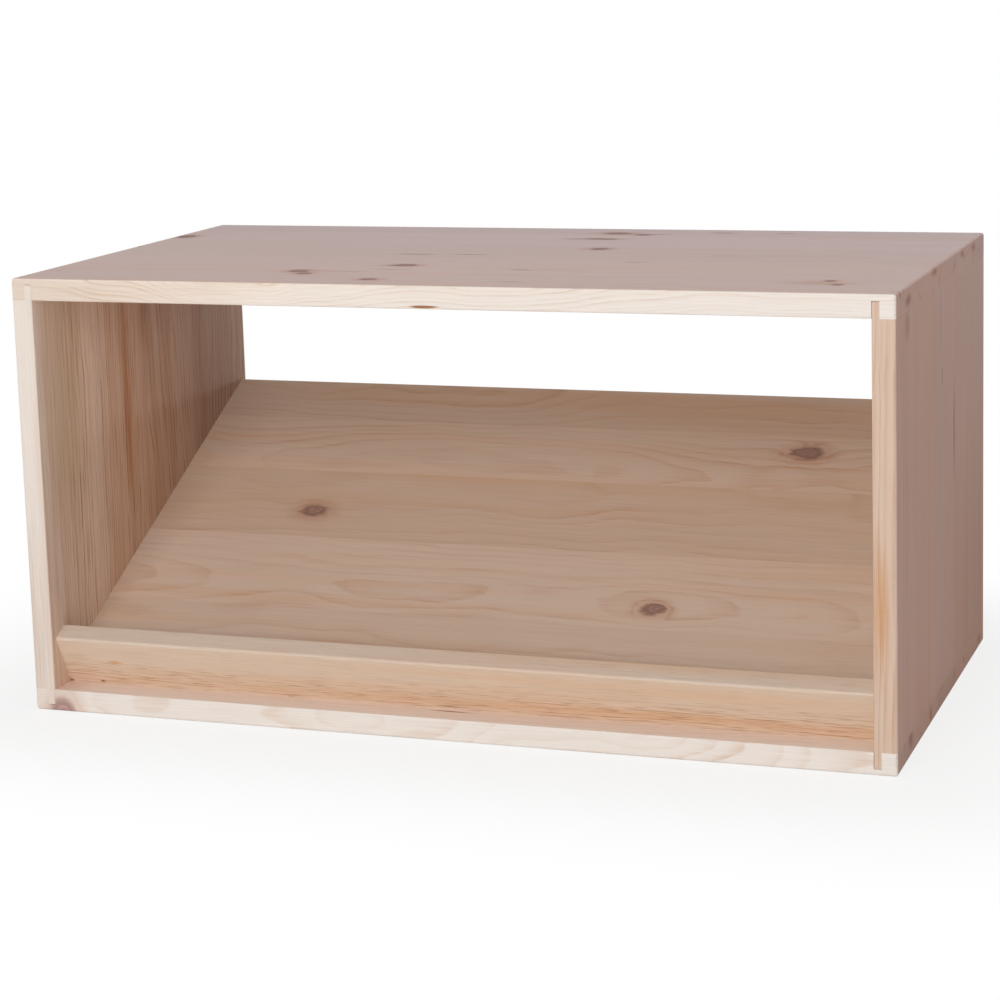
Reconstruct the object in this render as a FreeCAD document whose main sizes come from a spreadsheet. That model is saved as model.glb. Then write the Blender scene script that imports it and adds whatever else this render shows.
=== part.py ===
import FreeCAD, Part
import os
import re

import Sketcher

# Solid pine display rack for wine bottles. A box of two panels and two sides, joined by glued
# tongues and grooves, carries a shelf that rises to the open back. The bottles lie on the shelf
# with their bases against a lip, which stands square to the shelf and so leans to the front.
#
# Frame: millimetres, +Z up, front faces -Y, origin on the floor under the middle of the rack.

os.makedirs("parts", exist_ok=True)
doc = FreeCAD.newDocument("WineRack")


SAME_PLACE = 1e-4  # mm, two coordinates closer than this are the same
LEAST_CUT = 1e-3  # mm3, a cut that takes away less than this has missed
COUNTERSINK_ANGLE = 90  # degrees


# ---------------------------------------------------------------- driving dimensions

SIZES = {
    # carcass
    "rack_width": 600,
    "rack_depth": 325,
    "rack_height": 300,
    "board_thickness": 15,
    "outer_edge_radius": 2,
    "inner_edge_radius": 1,
    # corner joint: a tongue flush with the inner face of each side
    "tongue_thickness": 5,
    "tongue_length": 10.5,
    "groove_depth": 10.8,
    # lip: a rail whose lower front edge is planed off, to stand flat on the bottom panel
    "lip_foot_setback": 22.5,
    "lip_foot_width": 4,
    "lip_height": 41,
    "lip_front_radius": 2,
    "lip_back_radius": 1,
    # shelf and the cleats that carry it
    "shelf_slope": 26.7,
    "shelf_end_gap": 0.3,
    "cleat_section": 15,
    "cleat_start": 50,
    "cleat_end_inset": 14,
    "cleat_screw_margin": 25,
    "shelf_screw_margin": 70,
    # dowels between the lip and the shelf
    "dowel_diameter": 6,
    "dowel_length": 25,
    "dowel_depth_in_lip": 9,
    "dowel_spacing": 160,
    "dowel_chamfer": 0.8,
    # countersunk wood screws, all alike
    "screw_length": 25,
    "screw_diameter": 3,
    "screw_head_diameter": 6,
    "screw_head_height": 1.5,
    "screw_tip_length": 3,
    "recess_width": 0.9,
    "recess_span": 3,
    "recess_depth": 1.2,
}


def make_sheet():
    """Write every driving dimension to a sheet, one alias to a row."""
    sheet = doc.addObject("Spreadsheet::Sheet", "Sizes")
    for row, (alias, value) in enumerate(SIZES.items(), start=1):
        sheet.set(f"A{row}", alias)
        sheet.set(f"B{row}", str(value))
        sheet.setAlias(f"B{row}", alias)
    doc.recompute()
    return sheet


sheet = make_sheet()

# Worked-out dimensions, as expressions over the aliases.
ZERO = "0 * rack_width"
SLOPE = "(shelf_slope * 1 deg)"
INNER_WIDTH = "(rack_width - 2 * board_thickness)"
INNER_HEIGHT = "(rack_height - 2 * board_thickness)"
# The slope's origin is the lip's lower front edge as it was before it was planed off.
PLANED_HEIGHT = f"(lip_foot_width * sin({SLOPE}))"
PLANED_DEPTH = f"(lip_foot_width * cos({SLOPE}))"
SLOPE_Y = f"(-rack_depth / 2 + lip_foot_setback + {PLANED_HEIGHT} * sin({SLOPE}))"
SLOPE_RISE = f"(-{PLANED_HEIGHT} * cos({SLOPE}))"
SLOPE_LENGTH = f"((rack_depth / 2 - shelf_end_gap - {SLOPE_Y}) / cos({SLOPE}))"
CLEAT_LENGTH = f"({SLOPE_LENGTH} - cleat_start - cleat_end_inset)"
CLEAT_MIDDLE_X = f"({INNER_WIDTH} / 2 - cleat_section / 2)"
# Cuts run past the front and back edges, so that they are open at both.
PAST_BOTH_EDGES = "2 * rack_depth"


def with_sheet(text):
    """Put the sheet's name before every alias; only aliases have an underscore in them."""
    return re.sub(r"\b([a-z]+(?:_[a-z]+)+)\b", r"Sizes.\1", text)


def bind(thing, path, text):
    thing.setExpression(path, with_sheet(text))


def value_of(text):
    """The number that an expression over the aliases comes to, in millimetres."""
    result = sheet.evalExpression(with_sheet(text))
    return float(getattr(result, "Value", result))


# ---------------------------------------------------------------- helpers for bodies

def new_body(name):
    body = doc.addObject("PartDesign::Body", name)
    body.Label = name
    return body


def new_sketch(body, name, plane_role):
    """A sketch on one of the body's own origin planes: XY_Plane, XZ_Plane or YZ_Plane."""
    sketch = body.newObject("Sketcher::SketchObject", name)
    plane = [item for item in body.Origin.OriginFeatures if item.Role == plane_role][0]
    sketch.AttachmentSupport = [(plane, "")]
    sketch.MapMode = "FlatFace"
    return sketch


def pin_point(sketch, geometry, position, across, up):
    """Tie a point of the sketch to the sketch's origin, across and up."""
    for kind, text in (("DistanceX", across), ("DistanceY", up)):
        index = sketch.addConstraint(
            Sketcher.Constraint(kind, -1, 1, geometry, position, value_of(text)))
        bind(sketch, f"Constraints[{index}]", text)


def add_outline(sketch, corners):
    """A closed outline of straight edges; each corner is a pair of expressions."""
    points = [FreeCAD.Vector(value_of(across), value_of(up), 0) for across, up in corners]
    first = sketch.GeometryCount
    count = len(corners)
    for number in range(count):
        sketch.addGeometry(Part.LineSegment(points[number], points[(number + 1) % count]))
    for number, (across, up) in enumerate(corners):
        before = first + (number - 1) % count
        sketch.addConstraint(Sketcher.Constraint("Coincident", before, 2, first + number, 1))
        pin_point(sketch, first + number, 1, across, up)


def add_rectangle(sketch, left, low, right, high):
    add_outline(sketch, [(left, low), (right, low), (right, high), (left, high)])


def add_circles(sketch, centres, diameter):
    for across, up in centres:
        centre = FreeCAD.Vector(value_of(across), value_of(up), 0)
        circle = Part.Circle(centre, FreeCAD.Vector(0, 0, 1), value_of(diameter) / 2)
        number = sketch.addGeometry(circle)
        pin_point(sketch, number, 3, across, up)
        index = sketch.addConstraint(
            Sketcher.Constraint("Diameter", number, value_of(diameter)))
        bind(sketch, f"Constraints[{index}]", diameter)


def add_pad(body, sketch, length, midplane=False):
    pad = body.newObject("PartDesign::Pad", f"{sketch.Name}_pad")
    pad.Profile = sketch
    pad.Midplane = midplane
    bind(pad, "Length", length)
    doc.recompute()
    return pad


def add_pocket(body, sketch, length, midplane=False, reversed_cut=False):
    """Cut the sketch out of the body, and stop if nothing was removed."""
    before = body.Shape.Volume
    pocket = body.newObject("PartDesign::Pocket", f"{sketch.Name}_cut")
    pocket.Profile = sketch
    pocket.Midplane = midplane
    pocket.Reversed = reversed_cut
    bind(pocket, "Length", length)
    doc.recompute()
    if body.Shape.Volume > before - LEAST_CUT:
        raise RuntimeError(f"{pocket.Name} removed nothing")
    return pocket


def add_countersunk_holes(body, sketch):
    """Drill from the sketch through a cleat along its normal, countersunk where the screw enters."""
    before = body.Shape.Volume
    doc.recompute()
    hole = body.newObject("PartDesign::Hole", f"{sketch.Name}_drilled")
    hole.Profile = sketch
    hole.Reversed = True
    hole.ThreadType = "None"
    hole.DepthType = "Dimension"
    hole.DrillPoint = "Flat"
    hole.HoleCutType = "Countersink"
    hole.HoleCutCustomValues = True
    hole.HoleCutCountersinkAngle = COUNTERSINK_ANGLE
    bind(hole, "Diameter", "screw_diameter")
    bind(hole, "HoleCutDiameter", "screw_head_diameter")
    bind(hole, "Depth", "cleat_section")
    doc.recompute()
    if body.Shape.Volume > before - LEAST_CUT:
        raise RuntimeError(f"{hole.Name} removed nothing")
    return hole


def round_edges(body, name, radius, wanted):
    """Round every straight edge of the body whose two ends both satisfy the test."""
    tip = body.Tip
    names = []
    for number, edge in enumerate(tip.Shape.Edges, start=1):
        ends = [vertex.Point for vertex in edge.Vertexes]
        if len(ends) == 2 and wanted(ends[0], ends[1]):
            names.append(f"Edge{number}")
    if not names:
        raise RuntimeError(f"{name}: no edge to round")
    fillet = body.newObject("PartDesign::Fillet", name)
    fillet.Base = (tip, names)
    bind(fillet, "Radius", radius)
    doc.recompute()
    return fillet


def near(first, second):
    return abs(first - second) < SAME_PLACE


def both(first, second, axis, where):
    """True when both points lie at the given place along the axis."""
    return near(getattr(first, axis), where) and near(getattr(second, axis), where)


def along(first, second, axis):
    """True when the edge between the two points runs along the axis."""
    others = [other for other in "xyz" if other != axis]
    return all(near(getattr(first, other), getattr(second, other)) for other in others)


# ---------------------------------------------------------------- top and bottom panels

def make_panel(name):
    """A board with two grooves in its lower face; the bottom panel is one turned over."""
    body = new_body(name)
    board = new_sketch(body, f"{name}_board", "XY_Plane")
    add_rectangle(board, "-rack_width / 2", "-rack_depth / 2", "rack_width / 2", "rack_depth / 2")
    add_pad(body, board, "board_thickness")

    grooves = new_sketch(body, f"{name}_grooves", "XZ_Plane")
    wall = f"{INNER_WIDTH} / 2"
    add_rectangle(grooves, wall, ZERO, f"{wall} + tongue_thickness", "groove_depth")
    add_rectangle(grooves, f"-{wall} - tongue_thickness", ZERO, f"-{wall}", "groove_depth")
    add_pocket(body, grooves, PAST_BOTH_EDGES, midplane=True)

    half_width = value_of("rack_width / 2")
    half_depth = value_of("rack_depth / 2")
    thickness = value_of("board_thickness")
    inner_half = value_of(f"{INNER_WIDTH} / 2")

    def outer_edge(first, second):
        upright = along(first, second, "z") and near(abs(first.x), half_width)
        return upright or both(first, second, "z", thickness)

    def mouth_edge(first, second):
        low = both(first, second, "z", 0) and along(first, second, "x")
        between_sides = near(abs(first.x), inner_half) and near(abs(second.x), inner_half)
        return low and between_sides and near(abs(first.y), half_depth)

    round_edges(body, f"{name}_outer_rounding", "outer_edge_radius", outer_edge)
    round_edges(body, f"{name}_mouth_rounding", "inner_edge_radius", mouth_edge)
    return body


def make_top_panel():
    body = make_panel("top_panel")
    bind(body, "Placement.Base.z", "rack_height - board_thickness")
    return body


def make_bottom_panel():
    body = make_panel("bottom_panel")
    body.Placement.Rotation = FreeCAD.Rotation(FreeCAD.Vector(1, 0, 0), 180)
    bind(body, "Placement.Base.z", "board_thickness")
    return body


# ---------------------------------------------------------------- sides

def cleat_screw_steps():
    """Distances up the slope, from the cleat's lower end, of the screws into the side."""
    return ("cleat_screw_margin", f"{CLEAT_LENGTH} / 2", f"({CLEAT_LENGTH} - cleat_screw_margin)")


def side_hole_centres():
    """Places of the cleat screws on the side's inner face, as expressions for back and up."""
    centres = []
    for step in cleat_screw_steps():
        up_slope = f"(cleat_start + {step})"
        back = f"{SLOPE_Y} + {up_slope} * cos({SLOPE}) + cleat_section / 2 * sin({SLOPE})"
        up = f"{SLOPE_RISE} + {up_slope} * sin({SLOPE}) - cleat_section / 2 * cos({SLOPE})"
        centres.append((back, up))
    return centres


def make_right_side():
    """A board with its inner face at X = 0 and its lower shoulder at Z = 0, put in its place."""
    body = new_body("right_side")
    board = new_sketch(body, "side_board", "XZ_Plane")
    add_rectangle(board, ZERO, "-tongue_length",
                  "board_thickness", f"{INNER_HEIGHT} + tongue_length")
    add_pad(body, board, "rack_depth", midplane=True)

    rebates = new_sketch(body, "side_rebates", "XZ_Plane")
    past_face = "2 * board_thickness"
    add_rectangle(rebates, "tongue_thickness", "-2 * tongue_length", past_face, ZERO)
    add_rectangle(rebates, "tongue_thickness", INNER_HEIGHT,
                  past_face, f"{INNER_HEIGHT} + 2 * tongue_length")
    add_pocket(body, rebates, PAST_BOTH_EDGES, midplane=True)

    holes = new_sketch(body, "side_screw_holes", "YZ_Plane")
    add_circles(holes, side_hole_centres(), "screw_diameter")
    add_pocket(body, holes, "screw_length - cleat_section", reversed_cut=True)

    half_depth = value_of("rack_depth / 2")
    thickness = value_of("board_thickness")

    def upright_at(across):
        def wanted(first, second):
            upright = along(first, second, "z") and near(abs(first.y), half_depth)
            return upright and near(first.x, across)
        return wanted

    round_edges(body, "side_outer_rounding", "outer_edge_radius", upright_at(thickness))
    round_edges(body, "side_inner_rounding", "inner_edge_radius", upright_at(0))
    bind(body, "Placement.Base.x", f"{INNER_WIDTH} / 2")
    bind(body, "Placement.Base.z", "board_thickness")
    return body


def make_mirror_image(source, name):
    """The same piece on the other side of the rack's middle plane."""
    image = doc.addObject("Part::Mirroring", name)
    image.Label = name
    image.Source = source
    image.Normal = FreeCAD.Vector(1, 0, 0)
    return image


# ---------------------------------------------------------------- lip, shelf and cleats

DOWEL_STEPS = (-1.5, -0.5, 0.5, 1.5)  # in dowel spacings, from the middle


def lay_on_slope(body):
    """Place a body whose Y runs up the slope and whose Z stands square to it."""
    body.Placement.Rotation = FreeCAD.Rotation(FreeCAD.Vector(1, 0, 0), 1)
    bind(body, "Placement.Rotation.Angle", SLOPE)
    bind(body, "Placement.Base.y", SLOPE_Y)
    bind(body, "Placement.Base.z", f"board_thickness + {SLOPE_RISE}")


def add_dowel_holes(body, depth, towards_front):
    """Drill from the joint between lip and shelf, halfway up the shelf's edge."""
    holes = new_sketch(body, f"{body.Name}_dowel_holes", "XZ_Plane")
    bind(holes, "AttachmentOffset.Base.z", "-board_thickness")
    centres = [(f"{step} * dowel_spacing", "board_thickness / 2") for step in DOWEL_STEPS]
    add_circles(holes, centres, "dowel_diameter")
    add_pocket(body, holes, depth, reversed_cut=towards_front)


def make_front_lip():
    """The rail that stops the bottle bases, square to the shelf, with its foot planed level."""
    body = new_body("front_lip")
    section = new_sketch(body, "front_lip_section", "YZ_Plane")
    add_outline(section, [
        (PLANED_DEPTH, ZERO),
        ("board_thickness", ZERO),
        ("board_thickness", "lip_height"),
        (ZERO, "lip_height"),
        (ZERO, PLANED_HEIGHT),
    ])
    add_pad(body, section, INNER_WIDTH, midplane=True)
    add_dowel_holes(body, "dowel_depth_in_lip", towards_front=True)

    height = value_of("lip_height")
    thickness = value_of("board_thickness")

    def top_edge_at(depth):
        def wanted(first, second):
            return both(first, second, "z", height) and both(first, second, "y", depth)
        return wanted

    round_edges(body, "front_lip_front_rounding", "lip_front_radius", top_edge_at(0))
    round_edges(body, "front_lip_back_rounding", "lip_back_radius", top_edge_at(thickness))
    lay_on_slope(body)
    return body


def shelf_screw_steps():
    """Distances up the slope, from the cleat's lower end, of the screws into the shelf."""
    return ("shelf_screw_margin", f"({CLEAT_LENGTH} - shelf_screw_margin)")


def make_sloping_shelf():
    """The board that the bottles lie on, with its front edge against the back of the lip."""
    body = new_body("sloping_shelf")
    board = new_sketch(body, "shelf_board", "XY_Plane")
    add_rectangle(board, f"-{INNER_WIDTH} / 2", "board_thickness",
                  f"{INNER_WIDTH} / 2", SLOPE_LENGTH)
    add_pad(body, board, "board_thickness")
    add_dowel_holes(body, "dowel_length - dowel_depth_in_lip", towards_front=False)

    holes = new_sketch(body, "shelf_screw_holes", "XY_Plane")
    centres = [(f"{sign} * {CLEAT_MIDDLE_X}", f"cleat_start + {step}")
               for sign in (-1, 1) for step in shelf_screw_steps()]
    add_circles(holes, centres, "screw_diameter")
    add_pocket(body, holes, "screw_length - cleat_section", reversed_cut=True)

    length = value_of(SLOPE_LENGTH)

    def back_edge(first, second):
        return both(first, second, "y", length) and along(first, second, "x")

    round_edges(body, "shelf_rounding", "inner_edge_radius", back_edge)
    lay_on_slope(body)
    return body


def make_right_cleat():
    """A square batten under the shelf, drilled and countersunk for both sets of screws."""
    body = new_body("right_shelf_cleat")
    batten = new_sketch(body, "cleat_batten", "XY_Plane")
    add_rectangle(batten, f"{INNER_WIDTH} / 2 - cleat_section", "cleat_start",
                  f"{INNER_WIDTH} / 2", f"cleat_start + {CLEAT_LENGTH}")
    bind(batten, "AttachmentOffset.Base.z", "-cleat_section")
    add_pad(body, batten, "cleat_section")

    into_side = new_sketch(body, "cleat_side_screws", "YZ_Plane")
    bind(into_side, "AttachmentOffset.Base.z", f"{INNER_WIDTH} / 2 - cleat_section")
    add_circles(into_side,
                [(f"cleat_start + {step}", "-cleat_section / 2") for step in cleat_screw_steps()],
                "screw_diameter")
    add_countersunk_holes(body, into_side)

    into_shelf = new_sketch(body, "cleat_shelf_screws", "XY_Plane")
    bind(into_shelf, "AttachmentOffset.Base.z", "-cleat_section")
    add_circles(into_shelf,
                [(CLEAT_MIDDLE_X, f"cleat_start + {step}") for step in shelf_screw_steps()],
                "screw_diameter")
    add_countersunk_holes(body, into_shelf)
    lay_on_slope(body)
    return body


# ---------------------------------------------------------------- fasteners

def make_screw_pattern():
    """One countersunk screw: head flush with Z = 0, point at Z = -screw_length."""
    body = new_body("screw_pattern")
    profile = new_sketch(body, "screw_profile", "XZ_Plane")
    add_outline(profile, [
        (ZERO, ZERO),
        ("screw_head_diameter / 2", ZERO),
        ("screw_diameter / 2", "-screw_head_height"),
        ("screw_diameter / 2", "-screw_length + screw_tip_length"),
        (ZERO, "-screw_length"),
    ])
    turned = body.newObject("PartDesign::Revolution", "screw_turned")
    turned.Profile = profile
    turned.ReferenceAxis = (profile, ["V_Axis"])
    turned.Angle = 360
    doc.recompute()

    recess = new_sketch(body, "screw_recess", "XY_Plane")
    half_width = "recess_width / 2"
    half_span = "recess_span / 2"
    add_outline(recess, [
        (f"-{half_span}", f"-{half_width}"),
        (f"-{half_width}", f"-{half_width}"),
        (f"-{half_width}", f"-{half_span}"),
        (half_width, f"-{half_span}"),
        (half_width, f"-{half_width}"),
        (half_span, f"-{half_width}"),
        (half_span, half_width),
        (half_width, half_width),
        (half_width, half_span),
        (f"-{half_width}", half_span),
        (f"-{half_width}", half_width),
        (f"-{half_span}", half_width),
    ])
    add_pocket(body, recess, "recess_depth")
    return body


def make_dowel_pattern():
    """One dowel with chamfered ends, standing on Z = 0."""
    rod = doc.addObject("Part::Cylinder", "dowel_rod")
    bind(rod, "Radius", "dowel_diameter / 2")
    bind(rod, "Height", "dowel_length")
    doc.recompute()
    dowel = doc.addObject("Part::Chamfer", "dowel_pattern")
    dowel.Base = rod
    chamfer = value_of("dowel_chamfer")
    rims = [number for number, edge in enumerate(rod.Shape.Edges, start=1)
            if isinstance(edge.Curve, Part.Circle)]
    dowel.Edges = [(number, chamfer, chamfer) for number in rims]
    doc.recompute()
    return dowel


def make_group(name, pattern, places):
    """Copies of one fastener, each a separate solid, at the given placements."""
    copies = []
    for place in places:
        copy = pattern.Shape.copy()
        copy.Placement = place.multiply(copy.Placement)
        copies.append(copy)
    group = doc.addObject("Part::Feature", name)
    group.Label = name
    group.Shape = Part.makeCompound(copies)
    return group


def slope_placement():
    """The placement of the slope: Y runs up the shelf, Z stands square to it."""
    origin = FreeCAD.Vector(0, value_of(SLOPE_Y), value_of(f"board_thickness + {SLOPE_RISE}"))
    turn = FreeCAD.Rotation(FreeCAD.Vector(1, 0, 0), value_of("shelf_slope"))
    return FreeCAD.Placement(origin, turn)


def make_cleat_screws(pattern):
    """Three screws to each cleat, from the cleat's inner face into the side."""
    slope = slope_placement()
    inner_face = value_of(f"{INNER_WIDTH} / 2 - cleat_section")
    places = []
    for sign in (-1, 1):
        turn = FreeCAD.Rotation(FreeCAD.Vector(0, 1, 0), -90 * sign)
        for step in cleat_screw_steps():
            up_slope = value_of(f"cleat_start + {step}")
            head = FreeCAD.Vector(sign * inner_face, up_slope, value_of("-cleat_section / 2"))
            places.append(slope.multiply(FreeCAD.Placement(head, turn)))
    return make_group("cleat_screws", pattern, places)


def make_shelf_screws(pattern):
    """Two screws to each cleat, from the cleat's lower face up into the shelf."""
    slope = slope_placement()
    turn = FreeCAD.Rotation(FreeCAD.Vector(1, 0, 0), 180)
    places = []
    for sign in (-1, 1):
        for step in shelf_screw_steps():
            up_slope = value_of(f"cleat_start + {step}")
            head = FreeCAD.Vector(sign * value_of(CLEAT_MIDDLE_X), up_slope,
                                  value_of("-cleat_section"))
            places.append(slope.multiply(FreeCAD.Placement(head, turn)))
    return make_group("shelf_screws", pattern, places)


def make_lip_dowels(pattern):
    """A row of dowels across the joint between the lip and the shelf."""
    slope = slope_placement()
    start = value_of("board_thickness - dowel_depth_in_lip")
    up_the_slope = FreeCAD.Rotation(FreeCAD.Vector(1, 0, 0), -90)
    places = []
    for step in DOWEL_STEPS:
        foot = FreeCAD.Vector(step * value_of("dowel_spacing"), start, value_of("board_thickness / 2"))
        places.append(slope.multiply(FreeCAD.Placement(foot, up_the_slope)))
    return make_group("lip_dowels", pattern, places)


# ---------------------------------------------------------------- the rack

def make_rack():
    right_side = make_right_side()
    right_cleat = make_right_cleat()
    screw = make_screw_pattern()
    dowel = make_dowel_pattern()
    doc.recompute()
    pieces = [
        make_top_panel(),
        make_bottom_panel(),
        right_side,
        make_mirror_image(right_side, "left_side"),
        make_front_lip(),
        make_sloping_shelf(),
        right_cleat,
        make_mirror_image(right_cleat, "left_shelf_cleat"),
        make_cleat_screws(screw),
        make_shelf_screws(screw),
        make_lip_dowels(dowel),
    ]
    doc.recompute()
    return pieces


def check_document():
    for thing in doc.Objects:
        if "Invalid" in thing.State or "Error" in thing.State:
            raise RuntimeError(f"{thing.Name} failed: {thing.State}")


def write_pieces(pieces):
    for piece in pieces:
        shape = piece.Shape
        if shape.isNull() or not shape.isValid():
            raise RuntimeError(f"{piece.Label} has no valid shape")
    for piece in pieces:
        piece.Shape.exportStep(f"parts/{piece.Label}.step")
        print(f"{piece.Label}: {len(piece.Shape.Solids)} solid(s), {piece.Shape.Volume / 1000:.1f} cm3")


rack = make_rack()
check_document()
write_pieces(rack)
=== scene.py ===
# %% [markdown]
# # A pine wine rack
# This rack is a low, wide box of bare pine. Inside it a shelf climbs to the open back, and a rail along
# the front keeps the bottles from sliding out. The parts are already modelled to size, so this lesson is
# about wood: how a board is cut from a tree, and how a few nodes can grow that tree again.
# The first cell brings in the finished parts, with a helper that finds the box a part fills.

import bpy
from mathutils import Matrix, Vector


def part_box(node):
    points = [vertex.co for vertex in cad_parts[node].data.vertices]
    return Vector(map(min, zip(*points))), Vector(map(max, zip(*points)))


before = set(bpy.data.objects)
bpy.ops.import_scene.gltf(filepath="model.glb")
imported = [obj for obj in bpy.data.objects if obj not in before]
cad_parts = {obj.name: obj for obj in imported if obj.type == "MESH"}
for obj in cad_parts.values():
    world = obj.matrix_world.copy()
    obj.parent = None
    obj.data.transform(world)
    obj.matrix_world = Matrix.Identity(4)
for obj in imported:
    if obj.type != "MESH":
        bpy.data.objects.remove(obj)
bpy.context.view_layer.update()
print("parts:", sorted(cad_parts))

# %% The other tools that the lesson uses
import math
from collections import namedtuple

import bmesh
import bpy
from mathutils import Matrix, Vector

# %% [markdown]
# ## Places to remember
# A board's pattern has to follow the board, so we need to know how each one lies. The rack stands on the
# floor with its middle over the origin and its front towards -Y. The shelf and the lip share one slope, and
# it is easiest to describe them with arrows: up the slope, and square to it. They both start at the foot of
# the slope, which is the lip's lower front corner before its foot is planed flat.

# %% The slope of the shelf
SLOPE = math.radians(26.7)
UP_THE_SLOPE = Vector((0, math.cos(SLOPE), math.sin(SLOPE)))
SQUARE_TO_SLOPE = Vector((0, -math.sin(SLOPE), math.cos(SLOPE)))
SLOPE_FOOT = Vector((0, -0.13919, 0.01339))
for node in ("front_lip", "sloping_shelf"):
    low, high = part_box(node)
    print(node, "from", [round(v, 4) for v in low], "to", [round(v, 4) for v in high])

# %% [markdown]
# ## A shorthand for nodes
# Wood needs a long chain of small sums. In the editor we would draw them by hand and tidy them into groups.
# Written node by node in a script they would fill pages, so this helper lets one line add a node and join it
# to the ones before. Each method gives back an output socket, which the next line can use as if it were a
# number, so a sum of nodes reads much like a sum in plain Python.


# %% Colours as screen values
def linear(red, green, blue):
    """A colour given as 0 to 255 screen values, as the linear values that shaders work in."""
    def one(value):
        value /= 255
        return value / 12.92 if value <= 0.04045 else ((value + 0.055) / 1.055) ** 2.4
    return (one(red), one(green), one(blue), 1)


def grey(value):
    return (value, value, value, 1)


# %% The node shorthand
class Sums:
    """Adds nodes to one material and joins them up."""

    def __init__(self, material):
        self.tree = material.node_tree

    def put(self, socket, value):
        if isinstance(value, bpy.types.NodeSocket):
            self.tree.links.new(value, socket)
        else:
            socket.default_value = value

    def add(self, kind, inputs, output=0, **settings):
        node = self.tree.nodes.new(kind)
        for name, value in settings.items():
            setattr(node, name, value)
        for place, value in inputs.items():
            self.put(node.inputs[place], value)
        return node.outputs[output]

    def math(self, operation, first, second=0.0):
        return self.add("ShaderNodeMath", {0: first, 1: second}, operation=operation)

    def plus(self, first, second):
        return self.math("ADD", first, second)

    def minus(self, first, second):
        return self.math("SUBTRACT", first, second)

    def times(self, first, second):
        return self.math("MULTIPLY", first, second)

    def vector(self, operation, first, second=(0, 0, 0), output="Vector"):
        return self.add("ShaderNodeVectorMath", {0: first, 1: second}, output, operation=operation)

    def dot(self, first, second):
        return self.vector("DOT_PRODUCT", first, second, "Value")

    def join(self, x, y, z):
        return self.add("ShaderNodeCombineXYZ", {0: x, 1: y, 2: z})

    def fade(self, value, low, high, at_low=0.0, at_high=1.0):
        """A smooth step from one value to another while the input goes from low to high."""
        return self.add("ShaderNodeMapRange", {0: value, 1: low, 2: high, 3: at_low, 4: at_high},
                        interpolation_type="SMOOTHSTEP")

    def ramp(self, value, stops, interpolation="LINEAR"):
        node = self.tree.nodes.new("ShaderNodeValToRGB")
        node.color_ramp.interpolation = interpolation
        elements = node.color_ramp.elements
        while len(elements) < len(stops):
            elements.new(1.0)
        while len(elements) > len(stops):
            elements.remove(elements[-1])
        for element, (place, colour) in zip(elements, stops):
            element.position = place
            element.color = colour
        self.put(node.inputs[0], value)
        return node.outputs[0]

    def noise(self, place, scale=1.0, detail=2.0, roughness=0.5):
        return self.add("ShaderNodeTexNoise", {"Vector": place, "Scale": scale, "Detail": detail,
                                               "Roughness": roughness})

    def blend(self, amount, first, second, mode="MIX"):
        return self.add("ShaderNodeMix", {"Factor": amount, 6: first, 7: second}, 2,
                        data_type="RGBA", blend_type=mode)


# %% [markdown]
# ## How a board gets its figure
# A tree adds a ring each year: pale, soft earlywood in spring, then a thin dark line of latewood. A board is
# a flat slice of those nested tubes. Where the slice runs near the middle of the tree, the rings meet the
# face at a low angle and make wide arches; further out they make close, straight lines; and the sawn end
# shows them as arcs. A wave texture laid on each face would be quicker, but its stripes would break at every
# corner. If the pattern is worked out from the distance to the middle of the tree, all three come out right
# by themselves, and they agree wherever two faces of a board meet.
#
# So the first thing to know is where a point lies in its own board: how far along the grain, how far across
# the board, and how deep through it, all in millimetres.

# %% Where a point lies in its board
Spot = namedtuple("Spot", "along across through place")


def find_spot(sums, lie):
    coordinates = sums.add("ShaderNodeTexCoord", {}, "Object")
    from_corner = sums.vector("SUBTRACT", coordinates, lie["corner"])
    along = sums.dot(from_corner, lie["grain"] * 1000)
    across = sums.dot(from_corner, lie["across"] * 1000)
    through = sums.dot(from_corner, lie["through"] * 1000)
    return Spot(along, across, through, sums.join(along, across, through))


# %% [markdown]
# A panel this wide is glued up from several strips, called staves. Each stave comes from its own tree, so
# each gets its own middle, its own tone and its own warmth. A colour ramp with hard steps can look all four
# up at once, because a colour is four numbers. A colour holds 0 to 1, so the two places are packed into it
# as a share of a reach that is longer than any of them.

# %% What the stave is like at a point
STAVE_REACH = 800
Stave = namedtuple("Stave", "middle below tone warmth")


def find_stave(sums, across, board):
    width = board["width"]
    stops = []
    for start, middle, below, tone, warmth in board["staves"]:
        packed = (0.5 + middle / STAVE_REACH, 0.5 + below / STAVE_REACH, tone, warmth)
        stops.append((start / width, packed))
    colour = sums.ramp(sums.math("DIVIDE", across, width), stops, "CONSTANT")
    split = sums.tree.nodes.new("ShaderNodeSeparateColor")
    sums.put(split.inputs[0], colour)
    middle = sums.times(sums.minus(split.outputs[0], 0.5), STAVE_REACH)
    below = sums.times(sums.minus(split.outputs[1], 0.5), STAVE_REACH)
    return Stave(middle, below, split.outputs[2], colour.node.outputs["Alpha"])


# %% [markdown]
# A branch that grew out of the trunk leaves a knot: a dark oval, with the rings around it pushed aside.
# Elsewhere the trunk just bulged or dipped, and the rings run in waves. A knot could be painted on the face,
# but a branch goes right through the board, and one near an edge has to show on both faces. So knots, waves
# and stains are all given the same way, as an ellipsoid in the wood with a middle and three half sizes. The
# pattern only needs the distance from the middle, counted in half sizes: 0 in the middle, 1 on the rim.

# %% Distance in half sizes, and the nearest knot
RAG = (0.09, 0.24, 0.1)        # how fine the ragged outline of a knot is, along, across and through


def half_sizes_away(sums, spot, middle, radii):
    away = sums.vector("DIVIDE", sums.vector("SUBTRACT", spot.place, middle), radii)
    return sums.vector("LENGTH", away, output="Value")


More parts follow.
